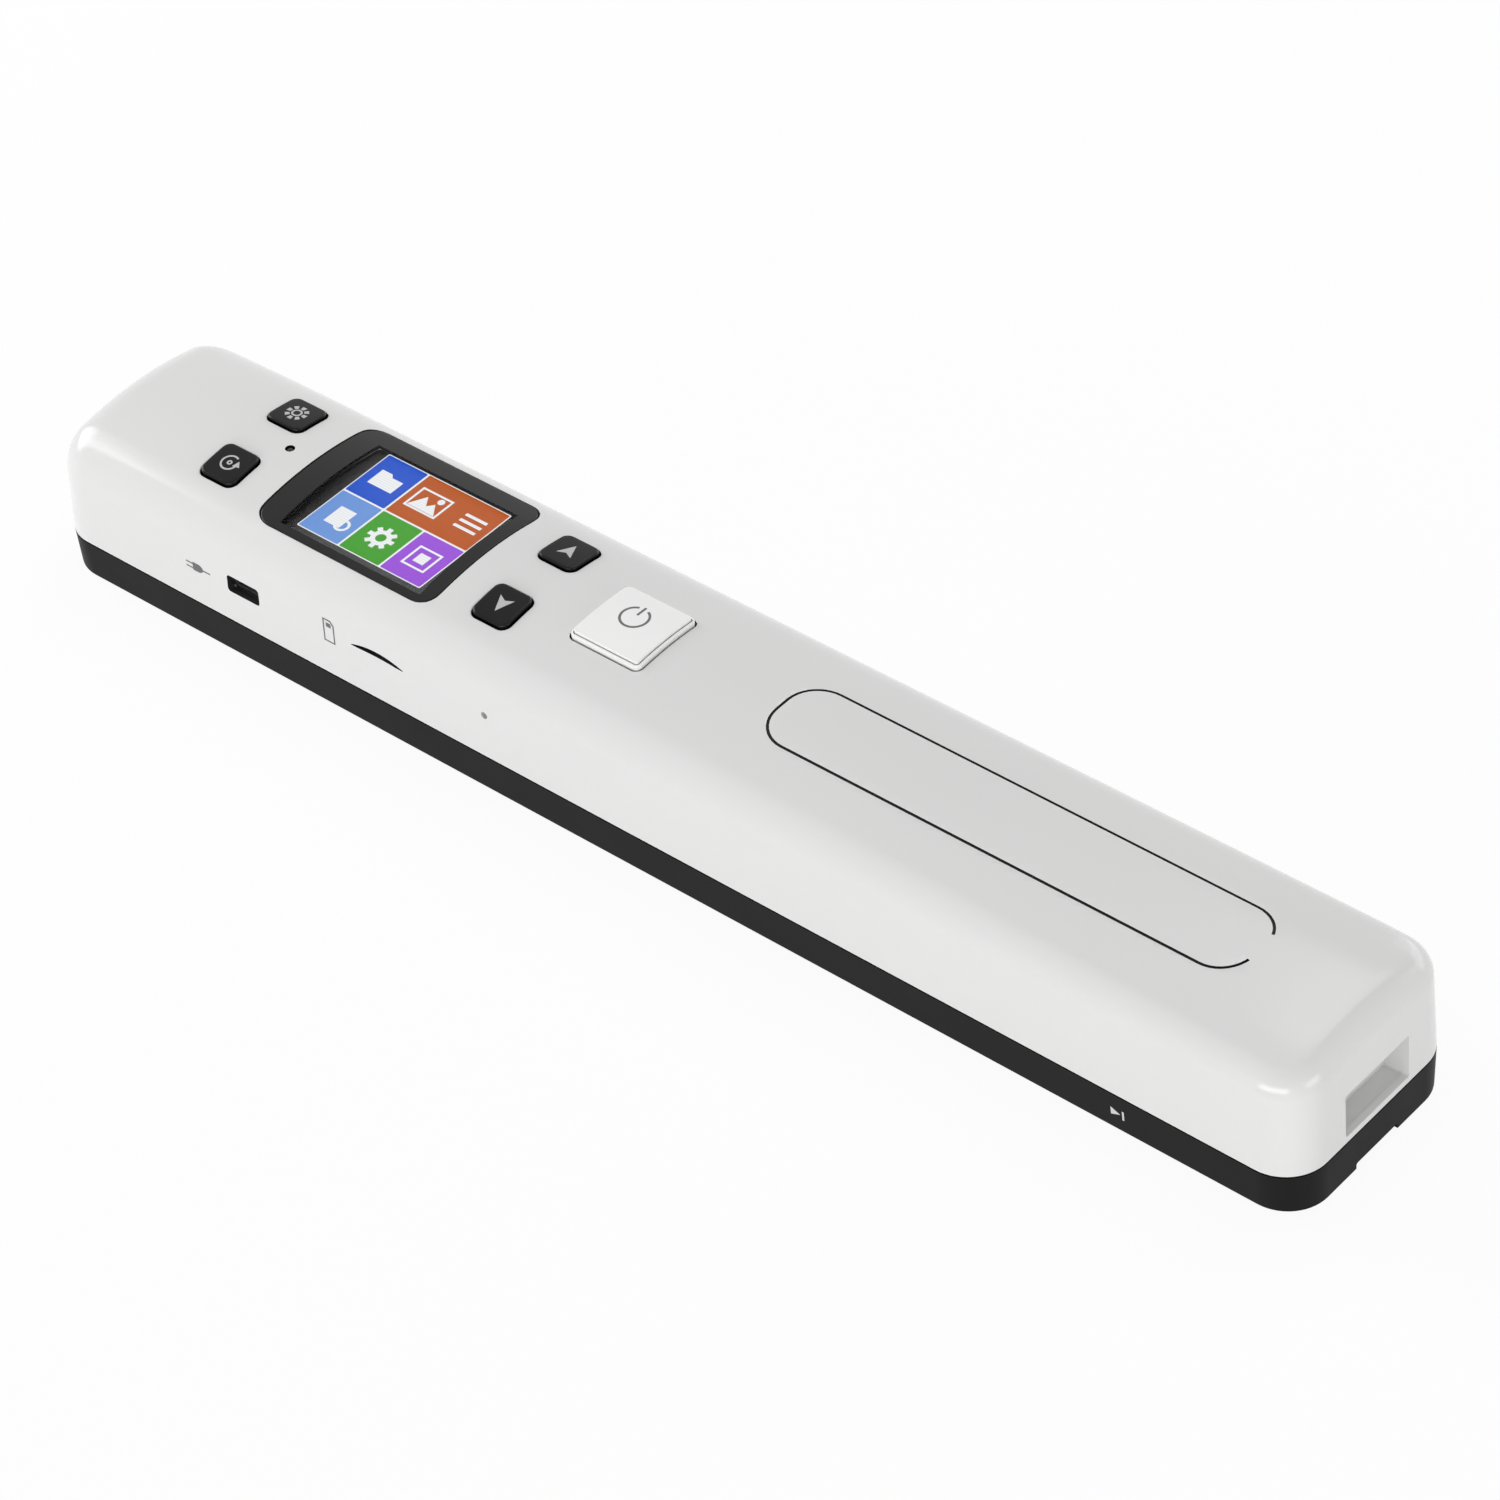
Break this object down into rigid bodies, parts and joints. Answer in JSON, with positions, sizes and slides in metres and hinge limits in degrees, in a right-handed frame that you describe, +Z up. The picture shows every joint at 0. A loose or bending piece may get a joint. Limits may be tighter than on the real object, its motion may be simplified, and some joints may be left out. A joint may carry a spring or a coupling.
{
  "type": "handheld wand document scanner",
  "caption": "Slim handheld wand scanner with a white cover, black tray, colour display, push keys, rubber rollers and a full-width sensor bar behind a glass strip.",
  "frame": {"origin": "middle of the footprint, on the surface that the rollers stand on", "axes": "+X along the body away from the display end, +Y towards the side without ports, +Z up from the page that is scanned"},
  "size_m": [0.257, 0.0402, 0.0302],
  "materials": {
    "white_shell": "gloss white ABS",
    "black_tray": "satin black ABS",
    "strip_glass": "clear float glass",
    "black_inner": "black moulded plastic",
    "circuit_board": "green solder mask",
    "lens_resin": "dark lens resin",
    "clear_acrylic": "clear acrylic",
    "white_plastic": "white moulded plastic",
    "steel": "bright plated steel",
    "rubber": "matt black rubber",
    "nylon": "natural nylon",
    "display_acrylic": "gloss black with a clear window",
    "lit_panel": "lit colour display",
    "black_key": "gloss black",
    "white_key": "gloss white",
    "cell_wrap": "blue shrink wrap",
    "red_wire": "red insulation",
    "black_wire": "black insulation"
  },
  "bodies": {
    "body": {"top_cover": "white_shell", "base_tray": "black_tray", "window_glass": "strip_glass", "sensor_housing": "black_inner", "sensor_board": "circuit_board", "rod_lens_array": "lens_resin", "light_guide": "clear_acrylic", "light_source": "white_plastic", "front_bush_left": "nylon", "front_bush_right": "nylon", "rear_bush_left": "nylon", "rear_bush_right": "nylon", "encoder_pin": "steel", "photo_interrupter": "black_inner", "main_board": "circuit_board", "display_window": "display_acrylic", "lcd_panel": "lit_panel", "display_holder": "white_plastic", "switch_back": "black_inner", "switch_menu": "black_inner", "switch_down": "black_inner", "switch_up": "black_inner", "switch_scan": "black_inner", "status_light_pipe": "clear_acrylic", "status_led": "white_plastic", "usb_socket": "steel", "card_socket": "steel", "reset_switch": "black_inner", "battery": "cell_wrap", "battery_plug": "white_plastic", "battery_lead_red": "red_wire", "battery_lead_black": "black_wire", "ribbon_cable": "white_plastic", "ribbon_socket": "black_inner", "case_screw_near_left": "steel", "case_screw_near_right": "steel", "case_screw_far_left": "steel", "case_screw_far_right": "steel", "board_screw_left": "steel", "board_screw_right": "steel"},
    "back_key": {"key_back": "black_key", "plunger_back": "white_plastic"},
    "menu_key": {"key_menu": "black_key", "plunger_menu": "white_plastic"},
    "down_key": {"key_down": "black_key", "plunger_down": "white_plastic"},
    "up_key": {"key_up": "black_key", "plunger_up": "white_plastic"},
    "scan_button": {"scan_key": "white_key", "plunger_scan": "white_plastic"},
    "reset_button": {"reset_plunger": "black_inner"},
    "front_roller": {"front_axle": "steel", "front_tyre_left": "rubber", "front_tyre_right": "rubber"},
    "rear_roller": {"rear_axle": "steel", "rear_tyre_left": "rubber", "rear_tyre_right": "rubber", "roller_gear": "nylon"},
    "encoder": {"encoder_wheel": "nylon"}
  },
  "joints": [
    {"name": "back_key_press", "type": "slide", "parent": "body", "child": "back_key", "axis": [0, 0, -1], "range_m": [0, 0.0004], "stiffness_N_per_m": 900, "springref_m": -0.0005},
    {"name": "menu_key_press", "type": "slide", "parent": "body", "child": "menu_key", "axis": [0, 0, -1], "range_m": [0, 0.0004], "stiffness_N_per_m": 900, "springref_m": -0.0005},
    {"name": "down_key_press", "type": "slide", "parent": "body", "child": "down_key", "axis": [0, 0, -1], "range_m": [0, 0.0004], "stiffness_N_per_m": 900, "springref_m": -0.0005},
    {"name": "up_key_press", "type": "slide", "parent": "body", "child": "up_key", "axis": [0, 0, -1], "range_m": [0, 0.0004], "stiffness_N_per_m": 900, "springref_m": -0.0005},
    {"name": "scan_button_press", "type": "slide", "parent": "body", "child": "scan_button", "axis": [0, 0, -1], "range_m": [0, 0.0004], "stiffness_N_per_m": 1100, "springref_m": -0.0005},
    {"name": "reset_press", "type": "slide", "parent": "body", "child": "reset_button", "axis": [0, 1, 0], "range_m": [0, 0.0003], "stiffness_N_per_m": 700, "springref_m": -0.0005},
    {"name": "front_roller_spin", "type": "hinge", "parent": "body", "child": "front_roller", "pos_m": [0, -0.012, 0.004], "axis": [1, 0, 0], "continuous": true},
    {"name": "rear_roller_spin", "type": "hinge", "parent": "body", "child": "rear_roller", "pos_m": [0, 0.012, 0.004], "axis": [1, 0, 0], "continuous": true},
    {"name": "encoder_spin", "type": "hinge", "parent": "body", "child": "encoder", "pos_m": [-0.0972, 0.012, 0.00928], "axis": [1, 0, 0], "continuous": true}
  ],
  "couplings": [
    {"joint": "encoder_spin", "follows": "rear_roller_spin", "ratio": -0.85714}
  ]
}
